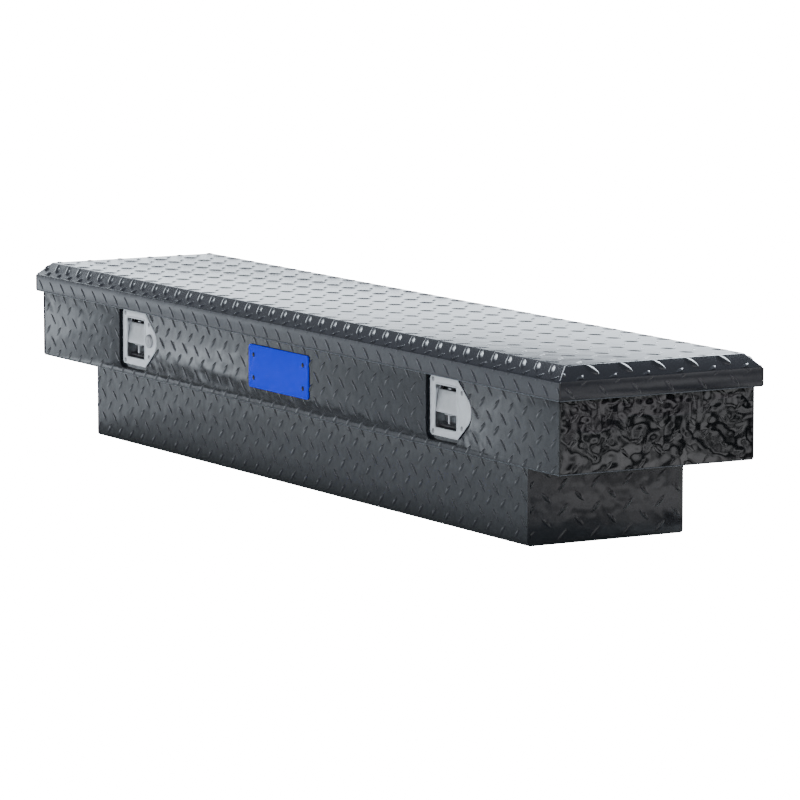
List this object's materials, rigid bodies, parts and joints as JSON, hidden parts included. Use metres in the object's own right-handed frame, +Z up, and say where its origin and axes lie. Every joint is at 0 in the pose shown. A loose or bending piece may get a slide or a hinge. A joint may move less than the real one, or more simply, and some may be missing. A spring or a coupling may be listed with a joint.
{
  "type": "truck tool box",
  "caption": "Low-profile crossover tool box for a pickup bed: tread-plate body with wings that rest on the bed rails, a narrower tub between them, and a strutted lid with paddle latches.",
  "frame": {"origin": "middle of the box's length and depth, in the plane of the tub's underside", "axes": "+X along the box to the right seen from the front, +Y towards the lid hinge at the back, +Z up"},
  "size_m": [1.7526, 0.3638, 0.2929],
  "materials": {
    "body_coat": "gloss powder coat over tread plate",
    "lid_coat": "gloss powder coat over tread plate",
    "lid_core": "rigid foam",
    "seal_rubber": "matte",
    "name_plate_blue": "satin",
    "rivet_black": "satin",
    "latch_stainless": "brushed",
    "strut_black": "gloss",
    "strut_chrome": "polished",
    "tray_aluminium": "powder coat",
    "fitting_steel": "zinc plated"
  },
  "bodies": {
    "box": {"tub_shell": "body_coat", "tub_end_left": "body_coat", "tub_end_right": "body_coat", "front_panel": "body_coat", "back_panel": "body_coat", "wing_floor_left": "body_coat", "wing_floor_right": "body_coat", "end_panel_left": "body_coat", "end_panel_right": "body_coat", "rim_frame": "body_coat", "weather_seal": "seal_rubber", "hinge_leaf_body": "fitting_steel", "hinge_pin": "fitting_steel", "hinge_rivets": "fitting_steel", "name_plate": "name_plate_blue", "name_plate_rivets": "rivet_black", "latch_recess_left": "body_coat", "latch_recess_right": "body_coat", "latch_gasket_left": "seal_rubber", "latch_gasket_right": "seal_rubber", "latch_plate_left": "latch_stainless", "latch_plate_right": "latch_stainless", "latch_dish_left": "latch_stainless", "latch_dish_right": "latch_stainless", "latch_screws_left": "fitting_steel", "latch_screws_right": "fitting_steel", "paddle_pins_left": "fitting_steel", "paddle_pins_right": "fitting_steel", "latch_housing_left": "fitting_steel", "latch_housing_right": "fitting_steel", "hook_pin_left": "fitting_steel", "hook_pin_right": "fitting_steel", "hook_spring_left": "fitting_steel", "hook_spring_right": "fitting_steel", "lock_barrel": "latch_stainless", "strut_mount_left": "fitting_steel", "strut_mount_right": "fitting_steel"},
    "lid": {"lid_skin": "lid_coat", "lid_pan": "lid_coat", "lid_foam": "lid_core", "hinge_leaf_lid": "fitting_steel", "striker_left": "fitting_steel", "striker_right": "fitting_steel", "strut_bracket_left": "fitting_steel", "strut_bracket_right": "fitting_steel"},
    "paddle_left_body": {"paddle_left": "latch_stainless"},
    "hook_left_body": {"latch_hook_left": "fitting_steel"},
    "strut_left_cylinder_body": {"strut_cylinder_left": "strut_black"},
    "strut_left_rod_body": {"strut_rod_left": "strut_chrome"},
    "paddle_right_body": {"paddle_right": "latch_stainless"},
    "hook_right_body": {"latch_hook_right": "fitting_steel"},
    "strut_right_cylinder_body": {"strut_cylinder_right": "strut_black"},
    "strut_right_rod_body": {"strut_rod_right": "strut_chrome"},
    "lock_plug_body": {"lock_plug": "latch_stainless"},
    "tray_body": {"tool_tray": "tray_aluminium", "tray_handle": "tray_aluminium"}
  },
  "joints": [
    {"name": "lid_hinge", "type": "hinge", "parent": "box", "child": "lid", "pos_m": [0, 0.1777, 0.2376], "axis": [-1, 0, 0], "range_deg": [0, 70]},
    {"name": "paddle_left_pull", "type": "hinge", "parent": "box", "child": "paddle_left_body", "pos_m": [-0.516, -0.1595, 0.2217], "axis": [-1, 0, 0], "range_deg": [0, 40], "stiffness_Nm_per_rad": 0.3, "springref_deg": -14.32},
    {"name": "hook_left_turn", "type": "hinge", "parent": "box", "child": "hook_left_body", "pos_m": [-0.516, -0.1135, 0.2182], "axis": [1, 0, 0], "range_deg": [0, 34]},
    {"name": "strut_left_pivot", "type": "hinge", "parent": "box", "child": "strut_left_cylinder_body", "pos_m": [-0.8359, -0.05, 0.15], "axis": [1, 0, 0], "range_deg": [0, 1.17]},
    {"name": "strut_left_stroke", "type": "slide", "parent": "strut_left_cylinder_body", "child": "strut_left_rod_body", "axis": [0, 0.8536, 0.5209], "range_m": [0, 0.06527]},
    {"name": "paddle_right_pull", "type": "hinge", "parent": "box", "child": "paddle_right_body", "pos_m": [0.526, -0.1595, 0.2217], "axis": [-1, 0, 0], "range_deg": [0, 40], "stiffness_Nm_per_rad": 0.3, "springref_deg": -14.32},
    {"name": "hook_right_turn", "type": "hinge", "parent": "box", "child": "hook_right_body", "pos_m": [0.526, -0.1135, 0.2182], "axis": [1, 0, 0], "range_deg": [0, 34]},
    {"name": "strut_right_pivot", "type": "hinge", "parent": "box", "child": "strut_right_cylinder_body", "pos_m": [0.8359, -0.05, 0.15], "axis": [1, 0, 0], "range_deg": [0, 1.17]},
    {"name": "strut_right_stroke", "type": "slide", "parent": "strut_right_cylinder_body", "child": "strut_right_rod_body", "axis": [0, 0.8536, 0.5209], "range_m": [0, 0.06527]},
    {"name": "lock_turn", "type": "hinge", "parent": "box", "child": "lock_plug_body", "pos_m": [-0.4655, -0.1635, 0.193], "axis": [0, 1, 0], "range_deg": [0, 90]},
    {"name": "tray_slide", "type": "slide", "parent": "box", "child": "tray_body", "axis": [1, 0, 0], "range_m": [0, 0.9998]}
  ],
  "couplings": [
    {"joint": "hook_left_turn", "follows": "paddle_left_pull", "ratio": 0.85},
    {"joint": "strut_left_pivot", "follows": "lid_hinge", "ratio": 0.016646},
    {"joint": "strut_left_stroke", "follows": "lid_hinge", "m_per_rad": 0.053425},
    {"joint": "hook_right_turn", "follows": "paddle_right_pull", "ratio": 0.85},
    {"joint": "strut_right_pivot", "follows": "lid_hinge", "ratio": 0.016646},
    {"joint": "strut_right_stroke", "follows": "lid_hinge", "m_per_rad": 0.053425}
  ]
}
